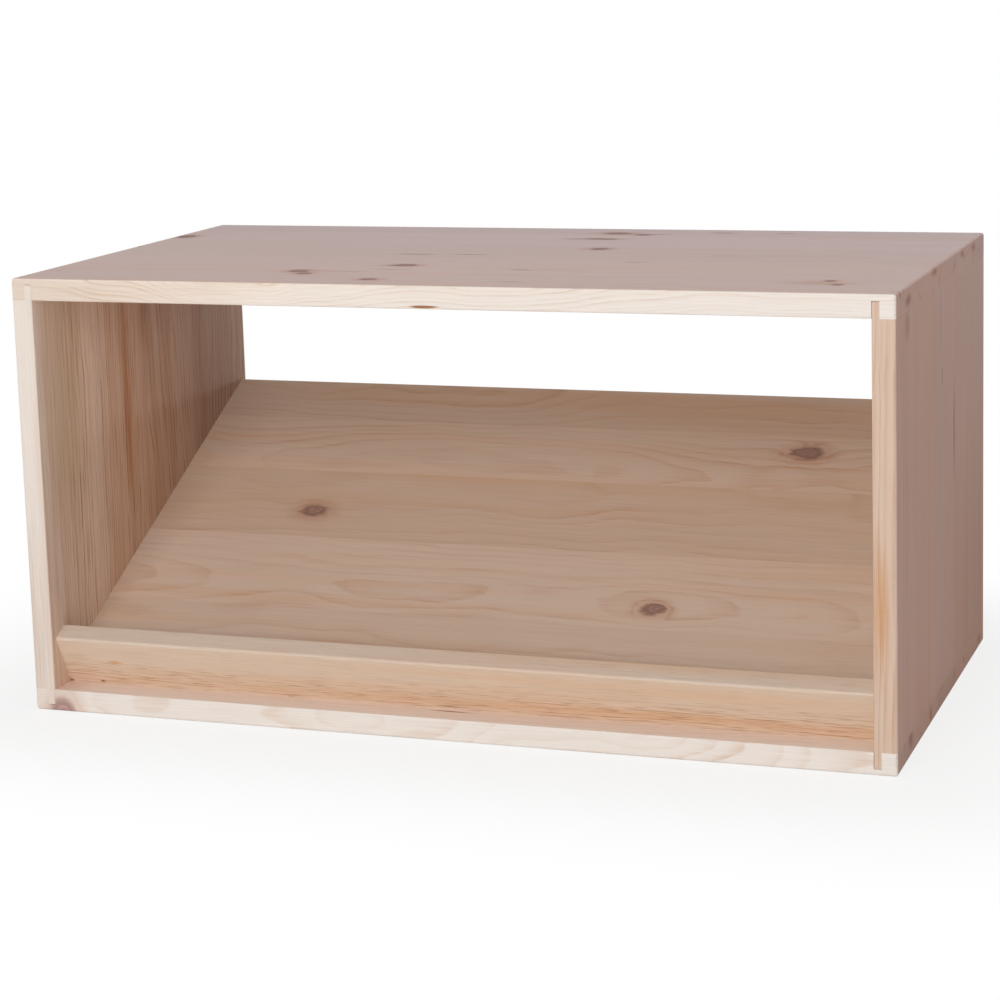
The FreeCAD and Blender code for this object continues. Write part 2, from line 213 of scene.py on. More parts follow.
def nearest_knot(sums, spot, board):
    nearest = None
    for middle, radii in board["knots"]:
        distance = half_sizes_away(sums, spot, middle, radii)
        nearest = distance if nearest is None else sums.math("MINIMUM", nearest, distance)
    if nearest is None:
        return None
    rag = sums.noise(sums.vector("MULTIPLY", spot.place, RAG), detail=3.0)
    return sums.plus(nearest, sums.times(sums.minus(rag, 0.5), board["knot_rag"]))


def bell(sums, distance, sharpness):
    """1 in the middle, falling away smoothly with distance."""
    return sums.math("EXPONENT", sums.times(sums.times(distance, distance), -sharpness))


# %% [markdown]
# ## The growth rings
# The distance to the middle of the tree is bent by slow noise, because no trunk is a perfect tube, by quick
# noise for the small ripples, and by the knots and waves. Near those the figure is lively, so this cell also
# tells how near they are.


# %% How far a point is from the middle of its tree
BOARD_STEP = 37                # millimetres from one seed's place in the noise to the next
STAVE_STEP = 900               # the same for the tones of the staves
SLOW = (0.0045, 0.008)         # how quickly the trunk wanders, along and across, per millimetre
QUICK = (0.03, 0.06)           # and how quickly it ripples
PUSH_REACH = 0.55              # sharpness of the bell in which a knot pushes the rings aside
LIVELY_REACH = 0.3             # and of the wider one in which they show more


def trunk_radius(sums, spot, board, stave, knot):
    step = sums.plus(sums.times(stave.tone, STAVE_STEP), board["seed"] * BOARD_STEP)
    shifted = sums.plus(spot.along, step)
    slow = sums.join(sums.times(shifted, SLOW[0]), sums.times(spot.across, SLOW[1]), stave.tone)
    wander = sums.times(sums.minus(sums.noise(slow), 0.5), board["wander"])
    quick = sums.join(sums.times(shifted, QUICK[0]), sums.times(spot.across, QUICK[1]), stave.tone)
    ripple = sums.times(sums.minus(sums.noise(quick, detail=1.0), 0.5), board["ripple"])
    side = sums.minus(spot.across, stave.middle)
    depth = sums.minus(spot.through, stave.below)
    round_distance = sums.math("SQRT", sums.plus(sums.times(side, side), sums.times(depth, depth)))
    radius = sums.plus(round_distance, sums.times(spot.along, board["taper"]))
    radius = sums.plus(radius, sums.plus(wander, ripple))
    lively = 0.0
    if knot is not None:
        radius = sums.plus(radius, sums.times(bell(sums, knot, PUSH_REACH), board["knot_push"]))
        lively = bell(sums, knot, LIVELY_REACH)
    for middle, radii, push in board["waves"]:
        near = bell(sums, half_sizes_away(sums, spot, middle, radii), 1.0)
        radius = sums.plus(radius, sums.times(near, push))
        lively = sums.plus(lively, near)
    return radius, lively


# %% [markdown]
# Counted in ring widths, that distance is a number of years, and its fraction tells how far through the year
# a point grew. The ramp below draws one year. Some years were dry and left a faint line, and a line is never
# quite even along the board, so two more noises thin it here and there.

# %% How dark the year's growth is: 0 in earlywood, 1 on the latewood line
ONE_YEAR = [(0.0, grey(0.05)), (0.12, grey(0)), (0.5, grey(0.12)), (0.76, grey(0.62)), (0.9, grey(1)),
            (0.97, grey(0.75)), (1.0, grey(0.05))]
UNEVEN_YEARS = 2.2             # how many years a run of wide or narrow rings may gain or lose


def year_line(sums, spot, board, stave, radius):
    years = sums.math("DIVIDE", radius, board["ring_width"])
    uneven = sums.noise(sums.join(sums.times(years, 0.35), stave.tone, 0.0), detail=1.0)
    years = sums.plus(years, sums.times(uneven, UNEVEN_YEARS))
    line = sums.ramp(sums.math("FRACT", years), ONE_YEAR)
    year_tone = sums.noise(sums.join(sums.math("FLOOR", years), stave.tone, 3.0), 7.3, 0.0)
    dryness = sums.fade(year_tone, 0.3, 0.7, 0.4, 1.0)
    shifted = sums.plus(spot.along, board["seed"] * BOARD_STEP)
    gaps = sums.noise(sums.join(sums.times(shifted, 0.025), sums.times(spot.across, 0.4),
                                sums.times(spot.through, 0.4)), detail=1.0)
    return sums.times(sums.times(line, dryness), sums.fade(gaps, 0.38, 0.62, board["broken"], 1.0))


# %% [markdown]
# ## The faces of a board
# Each face of a board has its own history. The broad faces were sanded weeks ago, and light and hands have
# turned them pinkish or brown; the narrow edges were planed last and are still pale; the sawn ends soak up
# dirt and look greyer. Six materials, one for each face, could do it, but they would meet in hard lines. A
# shader can tell the faces apart by their normals, so each gets a tint of its own in one material, and the
# tints run into each other round the rounded edges. These are a little lighter, partly from sanding and
# partly as a painted highlight.

# %% Which face a point is on
Faces = namedtuple("Faces", "tint rings rounding end narrow")


def find_faces(sums, board):
    lie = board["lie"]
    normal = sums.add("ShaderNodeTexCoord", {}, "Normal")
    out = sums.dot(normal, lie["through"])
    end_way = sums.math("ABSOLUTE", sums.dot(normal, lie["grain"]))
    edge_way = sums.math("ABSOLUTE", sums.dot(normal, lie["across"]))
    front = sums.fade(out, -0.2, 0.2)
    narrow = sums.fade(edge_way, 0.15, 0.45)
    end = sums.fade(end_way, 0.45, 0.8)
    tint = sums.blend(front, board["back_tint"], board["face_tint"])
    tint = sums.blend(end, tint, board["end_tint"])
    tint = sums.blend(narrow, tint, board["edge_tint"])
    broad_rings = sums.fade(front, 0.0, 1.0, board["back_rings"], board["face_rings"])
    rings = sums.blend(narrow, broad_rings, grey(board["edge_rings"]))
    flattest = sums.math("MAXIMUM", sums.math("MAXIMUM", sums.math("ABSOLUTE", out), edge_way), end_way)
    return Faces(tint, rings, sums.fade(flattest, 0.97, 0.8), end, narrow)


# %% [markdown]
# ## The fine grain
# On top of the rings come four finer things, all drawn out along the grain: hair-fine fibres, broad warm
# streaks, clouds where the rings show more or less, and short dark dashes where resin ducts were cut open.
# All four are the same noise. What makes them different is how far it is stretched each way.

# %% Fibres, streaks, clouds and dashes
FINE_STEP = 211                # millimetres from one board's place in the fine noises to the next
Grain = namedtuple("Grain", "fibre streak cloud dash")


def fine_grain(sums, spot, board):
    along = sums.plus(spot.along, board["seed"] * FINE_STEP)

    def stretched(per_along, per_across, per_through, detail, roughness=0.5):
        where = sums.join(sums.times(along, per_along), sums.times(spot.across, per_across),
                          sums.times(spot.through, per_through))
        return sums.noise(where, 1.0, detail, roughness)

    return Grain(fibre=stretched(0.02, 1.3, 1.3, 3.0, 0.6), streak=stretched(0.0022, 0.05, 0.03, 2.0),
                 cloud=stretched(0.008, 0.02, 0.02, 2.0),
                 dash=sums.fade(stretched(board["dash_pitch"], 1.9, 1.9, 1.0),
                                board["dash_from"], board["dash_from"] + 0.12))


# %% [markdown]
# ## The colour, in layers
# The colour is built up as a painter would: the pale ground with its ring lines, the warm streaks, the tint
# of the face, and last the fine light and dark of the fibres. Some boards have a calm side where few lines
# show, so the lines may fade across the board.


# %% Ground, rings, tint and shade
def calm_side(sums, spot, board):
    lively_at, calm_at, least = board["calm"]
    return sums.fade(spot.across, lively_at, calm_at, 1.0, least)


def wood_colour(sums, spot, board, stave, faces, grain, line, lively):
    calm = calm_side(sums, spot, board)
    strength = sums.fade(grain.cloud, 0.25, 0.75, board["ring_low"], board["ring_high"])
    strength = sums.times(sums.times(strength, faces.rings), calm)
    strength = sums.plus(strength, sums.times(lively, board["figure"]))
    colour = sums.blend(sums.times(line, strength), board["early"], board["late"])
    warm = sums.times(sums.fade(grain.streak, 0.45, 0.75), board["warmth"])
    colour = sums.blend(warm, colour, board["warm"], "MULTIPLY")
    stave_warm = sums.times(stave.warmth, sums.minus(1.0, faces.narrow))
    colour = sums.blend(stave_warm, colour, board["stave_warm"], "MULTIPLY")
    dashes = sums.times(sums.times(grain.dash, calm), board["dashes"])
    colour = sums.blend(dashes, colour, board["dash_colour"], "MULTIPLY")
    colour = sums.blend(1.0, colour, faces.tint, "MULTIPLY")
    mottle = sums.noise(spot.place, 0.07, 3.0, 0.6)
    shade = sums.plus(sums.fade(grain.fibre, 0.2, 0.8, 0.94, 1.05),
                      sums.times(sums.minus(stave.tone, 0.5), -1.5))
    # rounded edges 5% lighter: partly sanded wood, partly a painted highlight
    shade = sums.times(shade, sums.fade(faces.rounding, 0.0, 1.0, 1.0, 1.05))
    shade = sums.minus(shade, sums.times(faces.end, sums.fade(mottle, 0.52, 0.72, 0.0, 0.22)))
    return sums.blend(1.0, colour, sums.join(shade, shade, shade), "MULTIPLY")


# %% [markdown]
# Stains, resin lines and knots go on top. A stain only darkens what is there. A knot is denser wood with
# tight rings of its own, a dark rim where the bark was, and a warm halo of resin around it.


# %% Stains
def add_stains(sums, spot, board, grain, colour):
    for middle, radii, stain, soft in board["stains"]:
        distance = half_sizes_away(sums, spot, middle, radii)
        distance = sums.plus(distance, sums.times(sums.minus(grain.fibre, 0.5), 0.8))
        colour = sums.blend(sums.fade(distance, soft, 1.0, 1.0, 0.0), colour, stain, "MULTIPLY")
    return colour


# %% Knots
def add_knots(sums, board, grain, knot, colour):
    halo = sums.fade(knot, 0.9, 2.6, 0.6, 0.0)
    rim = sums.times(sums.fade(knot, 0.5, 0.85), sums.fade(knot, 0.92, 1.3, 1.0, 0.0))
    swirl = sums.math("SINE", sums.times(sums.plus(knot, sums.times(grain.fibre, 0.9)), 19.0))
    heart = sums.blend(sums.fade(swirl, -1.0, 1.0, 0.0, 0.4), board["knot"], board["knot_dark"])
    bark = sums.times(rim, sums.fade(grain.fibre, 0.35, 0.6, 0.4, 0.9))
    heart = sums.blend(bark, heart, board["knot_dark"])
    colour = sums.blend(halo, colour, board["knot_halo"], "MULTIPLY")
    return sums.blend(sums.fade(knot, 0.6, 1.3, 0.92, 0.0), colour, heart)


# %% [markdown]
# ## The surface
# Sanded pine hardly shines. Latewood is denser and a little smoother than earlywood, sawn ends are rougher,
# and rounded edges are polished by hands. The lines and fibres also stand in the height: a tenth of a
# millimetre is enough for a glancing light to find.


# %% Roughness and bump
RAW_WOOD_SHINE = 0.18          # specular level, low because bare wood scatters what it reflects
FIBRE_HEIGHT = 0.00012         # in metres


def wood_surface(sums, shader, faces, grain, line):
    rough = sums.plus(sums.fade(line, 0.0, 1.0, 0.7, 0.55), sums.times(sums.minus(grain.fibre, 0.5), 0.2))
    rough = sums.plus(rough, sums.times(faces.end, 0.15))
    sums.put(shader.inputs["Roughness"], sums.plus(rough, sums.times(faces.rounding, -0.12)))
    shader.inputs["Specular IOR Level"].default_value = RAW_WOOD_SHINE
    height = sums.plus(sums.times(line, 0.5), sums.times(grain.fibre, 0.7))
    height = sums.minus(height, sums.times(grain.dash, 0.8))
    bump = sums.add("ShaderNodeBump", {"Strength": 0.5, "Distance": FIBRE_HEIGHT, "Height": height})
    sums.put(shader.inputs["Normal"], bump)


# %% The whole pine material
def pine(name, board):
    material = bpy.data.materials.new(name)
    material.use_nodes = True
    sums = Sums(material)
    shader = material.node_tree.nodes["Principled BSDF"]
    spot = find_spot(sums, board["lie"])
    stave = find_stave(sums, spot.across, board)
    knot = nearest_knot(sums, spot, board)
    radius, lively = trunk_radius(sums, spot, board, stave, knot)
    line = year_line(sums, spot, board, stave, radius)
    faces = find_faces(sums, board)
    grain = fine_grain(sums, spot, board)
    colour = wood_colour(sums, spot, board, stave, faces, grain, line, lively)
    colour = add_stains(sums, spot, board, grain, colour)
    if knot is not None:
        colour = add_knots(sums, board, grain, knot, colour)
    sums.put(shader.inputs["Base Color"], colour)
    wood_surface(sums, shader, faces, grain, line)
    print(name, "takes", len(material.node_tree.nodes), "nodes")
    return material


# %% [markdown]
# ## One board at a time
# Eight boards with eight materials made by hand would never look like one batch of wood. So every board
# starts from the same plain pine and changes only what it needs. The numbers for each stave are:
# where it starts, counted from the board's first edge; where the middle of its tree was, across the board
# and through it; how dark it is, with 0.5 for plain; and how warm. Knots, waves and stains have their middle
# and their three half sizes in millimetres, along the grain, across and through.

# %% Colours that all the pine shares
EARLY = linear(241, 230, 221)
LATE = linear(219, 186, 160)
WARM = linear(255, 232, 206)
STAVE_WARM = linear(255, 238, 218)
KNOT = linear(160, 126, 114)
KNOT_DARK = linear(104, 76, 70)
KNOT_HALO = linear(230, 204, 192)
FAINT = linear(226, 208, 202)
RESIN = linear(152, 122, 102)
MARK = linear(182, 158, 150)
SMEAR = linear(238, 228, 216)
BROWN = linear(176, 136, 98)
MAUVE = linear(212, 190, 188)
ORANGE = linear(244, 219, 188)
# a slight darkening, laid on a few edges and faces
SLIGHTLY_DARKER = linear(244, 238, 233)
DASH = linear(196, 158, 126)

# %% Plain pine
PLAIN_PINE = {
    "ring_width": 4.2, "wander": 34.0, "ripple": 2.2, "taper": 0.012, "knot_push": 9.0,
    "early": EARLY, "late": LATE, "warm": WARM, "warmth": 0.5, "stave_warm": STAVE_WARM,
    "knot": KNOT, "knot_dark": KNOT_DARK, "knot_halo": KNOT_HALO, "knot_rag": 1.1,
    "ring_low": 0.25, "ring_high": 0.9, "broken": 0.5, "figure": 0.5,
    "dashes": 0.3, "dash_from": 0.68, "dash_pitch": 0.13, "dash_colour": DASH,
    "face_rings": 1.0, "back_rings": 1.0, "edge_rings": 0.6, "calm": (0, 1, 1.0),
    "face_tint": (0.9, 0.8, 0.74, 1), "back_tint": (0.9, 0.8, 0.74, 1),
    "edge_tint": (0.95, 0.965, 0.975, 1), "end_tint": (0.82, 0.7, 0.64, 1),
    "knots": [], "waves": [], "stains": [],
}


def flat_board(low_corner, grain, across, width, staves, seed, **more):
    grain, across = Vector(grain), Vector(across)
    lie = {"corner": Vector(low_corner), "grain": grain, "across": across, "through": grain.cross(across)}
    return {**PLAIN_PINE, "lie": lie, "width": width, "staves": staves, "seed": seed, **more}


def tell(name, board):
    print(name, "has", len(board["staves"]), "staves,", len(board["knots"]), "knots and",
          len(board["stains"]), "stains")


# %% [markdown]
# ## Top and bottom panels
# Each is glued up from five staves, with the grain across the rack, and its ends cover the sides. Both could
# share one material, but the eye soon finds a knot that comes twice, so each gets its own staves, knots and
# waves. The top has most of the knots, and a clear figure at the left of its front edge. Its face is the
# pinkish grey that pine takes in daylight, while the bottom panel, in the shade, has stayed pale.


# %% Top panel
def top_spot(x, y, half_length, half_width, half_depth=30):
    """A knot or stain in the top panel, in millimetres from the middle of the rack."""
    return ((x + 300, y + 162.5, 14), (half_length, half_width, half_depth))


top_knots = [
    top_spot(36, 132, 10, 6), top_spot(58, 124, 5, 3), top_spot(34, 97, 12, 4), top_spot(51, 39, 7, 5),
    top_spot(-54, -64, 8, 5), top_spot(-115, -102, 7, 6), top_spot(-107, -113, 5, 4),
    top_spot(-51, -136, 6, 4), top_spot(248, -107, 3.5, 3.5), top_spot(256, -124, 3.5, 3),
    top_spot(-291, 82, 7, 8)]
top_waves = [
    ((150, 0, 8), (120, 26, 30), 15), ((330, 0, 8), (110, 26, 30), 12), ((62, 0, 5), (16, 26, 30), 1.6),
    ((98, 0, 10), (14, 26, 30), -1.6), ((190, 0, 10), (12, 26, 12), 2.5)]
top_stains = [
    (*top_spot(-70, -4, 24, 2.6, 4), RESIN, 0.2), (*top_spot(-30, -2, 26, 2.6, 4), MARK, 0.1),
    (*top_spot(-88, -99, 34, 2.5, 8), FAINT, 0.1), (*top_spot(34, -78, 13, 2.2, 4), RESIN, 0.1),
    (*top_spot(60, -76, 30, 1.6, 4), FAINT, 0.2), (*top_spot(62, 128, 26, 2.6, 4), RESIN, 0.0),
    (*top_spot(14, 95, 18, 2.6, 4), RESIN, 0.0), (*top_spot(-56, -86, 22, 3, 8), FAINT, 0.1),
    (*top_spot(-58, -66, 22, 1.8, 4), RESIN, 0.1),
    (*top_spot(98, -30, 12, 3), FAINT, 0.2), (*top_spot(47, -137, 14, 2.5), FAINT, 0.2),
    (*top_spot(114, 142, 15, 5), FAINT, 0.2), (*top_spot(161, 143, 12, 4), FAINT, 0.2),
    (*top_spot(243, -117, 34, 14), SMEAR, 0.0), (*top_spot(-298, 16, 7, 4, 4), MARK, 0.0),
    # SLIGHTLY_DARKER: the left part of the front edge a little darker
    ((297, 0, 1.4), (12, 30, 1.4), BROWN, 0.5), ((0, 0, 6), (230, 5, 30), SLIGHTLY_DARKER, 0.0),
    ((600, 13, 13), (12, 4, 4), MAUVE, 0.0), ((600, 38, 6), (12, 14, 6), MAUVE, 0.0),
    ((600, 128, 12), (12, 16, 4), MAUVE, 0.0), ((600, 232, 11), (12, 9, 4), MAUVE, 0.0),
    ((600, 279, 10), (12, 12, 5), MAUVE, 0.0)]
top_board = flat_board(
    (-0.3, -0.1625, 0.285), (1, 0, 0), (0, 1, 0), 325,
    [(0, 30, -46, 0.5, 0.35), (64, 128, -70, 0.49, 0.3), (140, 175, -30, 0.51, 0.25),
     (214, 290, -60, 0.5, 0.1), (286, 262, -90, 0.53, 0.0)],
    seed=3, ring_width=2.8, ring_low=0.1, ring_high=0.5, edge_rings=0.9, warmth=0.25, figure=0.3,
    face_tint=(0.785, 0.705, 0.76, 1), end_tint=(0.8, 0.62, 0.6, 1),
    knots=top_knots, waves=top_waves, stains=top_stains)
tell("top panel", top_board)

# %% Bottom panel
bottom_waves = [
    ((620, 0, 8), (130, 60, 60), 27), ((436, 0, -2), (70, 40, 12), 6), ((352, 0, 3), (60, 40, 14), 5),
    ((232, 0, 12), (40, 40, 14), -8), ((120, 0, 6), (34, 40, 20), 6)]
bottom_stains = [
    ((300, 17.5, 15), (20, 1.2, 2), RESIN, 0.3), ((600, 42, 12), (12, 12, 8), MAUVE, 0.0),
    ((600, 112, 7), (12, 6, 8), MAUVE, 0.0), ((600, 304, 7), (12, 8, 5), MAUVE, 0.0)]
bottom_board = flat_board(
    (-0.3, -0.1625, 0.0), (1, 0, 0), (0, 1, 0), 325,
    [(0, 25, 9, 0.5, 0.1), (58, 120, -60, 0.47, 0.4), (133, 150, 70, 0.52, 0.4),
     (207, 300, 40, 0.48, 0.5), (270, 240, -80, 0.5, 0.4)],
    seed=8, wander=44.0, ring_low=0.2, ring_high=0.6, edge_rings=1.15, warmth=0.3, figure=0.25, knot_rag=0.3,
    knots=[((20.5, 0, -1), (9.5, 34, 10.5)), ((410, 190, 7), (9, 7, 30)), ((160, 260, 7), (12, 8, 30))],
    knot=linear(190, 154, 148), knot_dark=linear(136, 106, 100), face_tint=(0.97, 0.92, 0.9, 1),
    end_tint=(0.7, 0.53, 0.5, 1), waves=bottom_waves, stains=bottom_stains)
tell("bottom panel", bottom_board)

# %% [markdown]
# ## The sides
# Their grain stands upright, so that they carry the load and all four boards shrink and swell together. One
# side mirrored would be quick, but then both would have the same lines. The left one shows us its inside,
# which is browner and has close, strong lines; its top and back are darker, mostly as painted shade. The
# right one shows its outside, tinted darker, partly as painted shade, and its front edge came from a darker
# part of the tree.

# %% Left side
left_board = flat_board(
    (-0.3, -0.1625, 0.0), (0, 0, 1), (0, 1, 0), 325,
    [(0, -60, 90, 0.47, 0.0), (24, 190, 120, 0.5, 0.3), (58, 300, -120, 0.485, 0.3),
     (98, 300, -110, 0.53, 0.6), (158, 80, 140, 0.55, 0.4), (226, 360, 90, 0.56, 0.3)],
    seed=13, ring_width=3.3, wander=20.0, ripple=2.4, ring_low=0.6, ring_high=1.0, warmth=0.5,
    late=linear(164, 118, 84), warm=linear(226, 192, 160), broken=0.2, dashes=0.35, calm=(60, 10, 0.3),
    face_rings=0.35, edge_rings=0.12, stave_warm=linear(255, 228, 200),
    back_tint=(0.96, 0.89, 0.84, 1), face_tint=(0.8, 0.62, 0.58, 1), edge_tint=(0.88, 0.87, 0.86, 1),
    # inner face darker towards the back: painted shade, with some darker tone of the wood
    stains=[((150, 230, -17), (320, 200, 12), linear(222, 212, 208), 0.2),
            ((205, 127, -16), (130, 11, 9), linear(232, 202, 172), 0.0),
            ((270, 158, -16), (90, 15, 9), linear(226, 206, 188), 0.0),
            ((210, 34, -16), (170, 36, 9), linear(238, 234, 222), 0.2),
            # painted shade under the top panel: darker along the inner face's top
            ((285, 190, -16), (66, 240, 9), linear(229, 222, 218), 0.0),
            # painted shade far from the open front: darker towards the inner face's back
            ((150, 290, -16), (320, 110, 9), linear(225, 219, 214), 0.1),
            # SLIGHTLY_DARKER: the lower part of the front edge a little darker
            ((0, 0, 8), (170, 4, 30), SLIGHTLY_DARKER, 0.0), ((70, 0, 8), (110, 4, 30), SLIGHTLY_DARKER, 0.0)])
tell("left side", left_board)

# %% Right side
right_board = flat_board(
    (0.3, -0.1625, 0.0), (0, 0, 1), (0, 1, 0), 325,
    [(0, -40, -120, 0.5, 0.1), (50, 220, -160, 0.5, 0.3), (122, 20, 160, 0.52, 0.1),
     (199, 330, -170, 0.53, 0.3), (266, 40, 190, 0.55, 0.1)],
    seed=21, ring_width=3.6, wander=16.0, ring_low=0.2, ring_high=0.7, edge_rings=1.3, warmth=0.4,
    # the outside face (back_tint) is darker: partly the wood's tone, partly painted shade
    edge_tint=(0.775, 0.645, 0.56, 1), back_tint=(0.72, 0.533, 0.493, 1), face_tint=(0.95, 0.9, 0.8, 1),
    stains=[((181, 200.5, 0), (50, 2.6, 4), MARK, 0.2), ((225, 156, 0), (9, 3, 4), FAINT, 0.2),
            ((8, 40, 0), (12, 16, 5), FAINT, 0.0), ((276, 36, 0), (16, 12, 5), FAINT, 0.0),
            ((6, 106, 0), (10, 8, 5), FAINT, 0.0), ((105, 0, 10), (64, 8, 8), ORANGE, 0.0),
            # SLIGHTLY_DARKER: the lower back of the outside face a little darker
            ((60, 300, 0), (150, 180, 4), SLIGHTLY_DARKER, 0.0), ((262, 150, 0), (30, 1.6, 4), FAINT, 0.2)])
tell("right side", right_board)

# %% [markdown]
# ## Lip, shelf and cleats
# The lip is a narrow rail with close rings. Its upper half is calm, and near its foot the lines crowd
# together and the wood is more orange, partly as painted bounce light from the bottom panel. The shelf lies
# in shade; its plain light brown, darker than the other boards, is partly painted shade. The cleats are
# offcuts that nobody was meant to see. The lip and shelf lean, so their patterns are laid along the arrows
# of the slope; a pattern that followed the room would cut through them at a slant.

# %% Lip
lip_board = flat_board(
    SLOPE_FOOT + Vector((-0.285, 0, 0)), (1, 0, 0), SQUARE_TO_SLOPE, 41,
    [(0, -90, 60, 0.5, 0.4)], seed=34, ring_width=1.9, wander=9.0, ripple=1.0, warmth=0.6,
    ring_low=0.35, ring_high=1.0, broken=0.1, edge_rings=0.9, back_rings=0.3, dashes=1.0, dash_pitch=0.045,
    calm=(14, 27, 0.22), late=linear(200, 158, 122), dash_from=0.6,
    face_tint=(0.84, 0.765, 0.69, 1), edge_tint=(0.765, 0.69, 0.62, 1), back_tint=(0.92, 0.9, 0.92, 1),
    # first stain: the left end darker and pinker, partly the wood, partly painted shade in the corner
    stains=[((12, 20, 15), (16, 40, 20), linear(240, 226, 222), 0.1),
            # first stain here: a more orange band near the foot, partly the wood, partly painted bounce light
            ((320, 9, 0), (420, 8, 3), linear(253, 242, 228), 0.0), ((40, 22, 0), (9, 3, 3), ORANGE, 0.0),
            ((1.5, 3, 0), (2.6, 2, 3), BROWN, 0.0), ((26, 4, 0), (3, 1.8, 3), BROWN, 0.0)])
tell("lip", lip_board)

# %% Shelf and cleats
shelf_board = flat_board(
    SLOPE_FOOT + Vector((-0.285, 0, 0)), (1, 0, 0), UP_THE_SLOPE, 330,
    [(0, 60, -50, 0.5, 0.5), (74, 100, -40, 0.47, 0.4), (150, 210, -70, 0.53, 0.6),
     (226, 240, -35, 0.48, 0.4), (290, 350, -60, 0.52, 0.5)],
    # face_tint is darker than on the other boards: partly the shelf's own brown, partly painted shade
    seed=55, ring_low=0.2, ring_high=0.8, face_tint=(0.7, 0.645, 0.61, 1), back_tint=(0.78, 0.72, 0.66, 1),
    edge_tint=(0.8, 0.74, 0.68, 1),
    knots=[((120, 180, 8), (10, 7, 30)), ((400, 95, 8), (8, 6, 30)), ((470, 270, 8), (12, 7, 30))])
cleat_board = flat_board(
    SLOPE_FOOT, UP_THE_SLOPE, (1, 0, 0), 600,
    [(0, 300, 90, 0.5, 0.5)], seed=71, ring_width=3.0, wander=12.0, edge_tint=(0.9, 0.82, 0.75, 1),
    end_tint=(0.7, 0.64, 0.6, 1))
tell("shelf", shelf_board)
tell("cleats", cleat_board)

# %% [markdown]
# The parts are dressed through their material slots. Replacing a part's mesh would also work, but then its
# size would be ours to keep right; a new material in the slot leaves the mesh just as it was made.

# %% Put the pine on the boards
boards = {
    "top_panel": top_board, "bottom_panel": bottom_board, "left_side": left_board,
    "right_side": right_board, "front_lip": lip_board, "sloping_shelf": shelf_board,
    "left_shelf_cleat": cleat_board, "right_shelf_cleat": cleat_board,
}


def dress(node, material):
    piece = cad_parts[node]
    if not piece.material_slots:
        piece.data.materials.append(None)
    for slot in piece.material_slots:
        slot.material = material


for node, board in boards.items():
    dress(node, pine(f"pine {node.replace('_', ' ')}", board))
print("pine boards:", len(boards))

# %% [markdown]
# ## Fasteners
# The shelf hangs on two battens, each held by countersunk screws with a yellow zinc coat. A plain metal would
# do from afar, but the coat is never even: it has brassy and greyer patches and fine scratches from the
# driver, and one noise for each is enough to show that. Beech dowels join the lip to the shelf; nobody will
# see them, but they are there, so they get a wood of their own, from the same recipe with finer rings.


# %% The yellow zinc of the screws
def zinc(name):
    material = bpy.data.materials.new(name)
    material.use_nodes = True
    sums = Sums(material)
    shader = material.node_tree.nodes["Principled BSDF"]
    place = sums.vector("MULTIPLY", sums.add("ShaderNodeTexCoord", {}, "Object"), (1000, 1000, 1000))
    patches = sums.noise(place, 0.35, 3.0)
    scratch = sums.noise(place, 3.0)
    sums.put(shader.inputs["Base Color"],
             sums.ramp(patches, [(0.3, linear(236, 212, 142)), (0.6, linear(220, 202, 160)),
                                 (0.8, linear(196, 186, 166))]))
    sums.put(shader.inputs["Roughness"], sums.fade(scratch, 0.3, 0.7, 0.34, 0.5))
    shader.inputs["Metallic"].default_value = 1.0
    bump = sums.add("ShaderNodeBump", {"Strength": 0.3, "Distance": 0.00005, "Height": scratch})
    sums.put(shader.inputs["Normal"], bump)
    return material


# %% Screws and dowels
dowel_board = flat_board(
    SLOPE_FOOT, UP_THE_SLOPE, (1, 0, 0), 600, [(0, 290, 20, 0.5, 0.3)], seed=90, ring_width=1.6,
    early=linear(226, 196, 166), late=linear(196, 158, 124))
dress("lip_dowels", pine("beech of the dowels", dowel_board))
screw_coat = zinc("yellow zinc")
for node in ("cleat_screws", "shelf_screws"):
    dress(node, screw_coat)
print("materials:", sorted(material.name for material in bpy.data.materials))

# %% [markdown]
# ## The studio
# The rack stands on a pale floor, lit by a broad soft lamp in front, weaker ones above and behind, and a dim
# room. The floor and the room look white to the eye of the camera, but they shine no more light on the wood
# for it: the Light Path node tells the rays that the camera sees, straight or in a shine, from the rest.
# Turning the lamps up until the floor burns white would be simpler, but the pale wood would burn with it.

# %% Rays that show the white surroundings
FLOOR_REACH = 6.0
HALF_FOOTPRINT = (0.3, 0.1625, 0)
SHADOW_REACH = 0.22            # how far from the rack the floor's own shade still counts
SHADOW_WHITE = 0.8             # how white the floor looks right beside the rack


def seen_rays(sums):
    paths = sums.tree.nodes.new("ShaderNodeLightPath")
    seen = sums.math("MAXIMUM", paths.outputs["Is Camera Ray"], paths.outputs["Is Glossy Ray"])
    return sums.math("MAXIMUM", seen, paths.outputs["Is Transmission Ray"])


# %% [markdown]
# The floor is one flat square, far wider than the view. A curved backdrop is the usual way to hide where
# floor and wall meet, but here both are white to the eye, so nothing needs hiding. Close to the rack the
# floor's own shade counts for more, and there it keeps the rack's soft shadow.

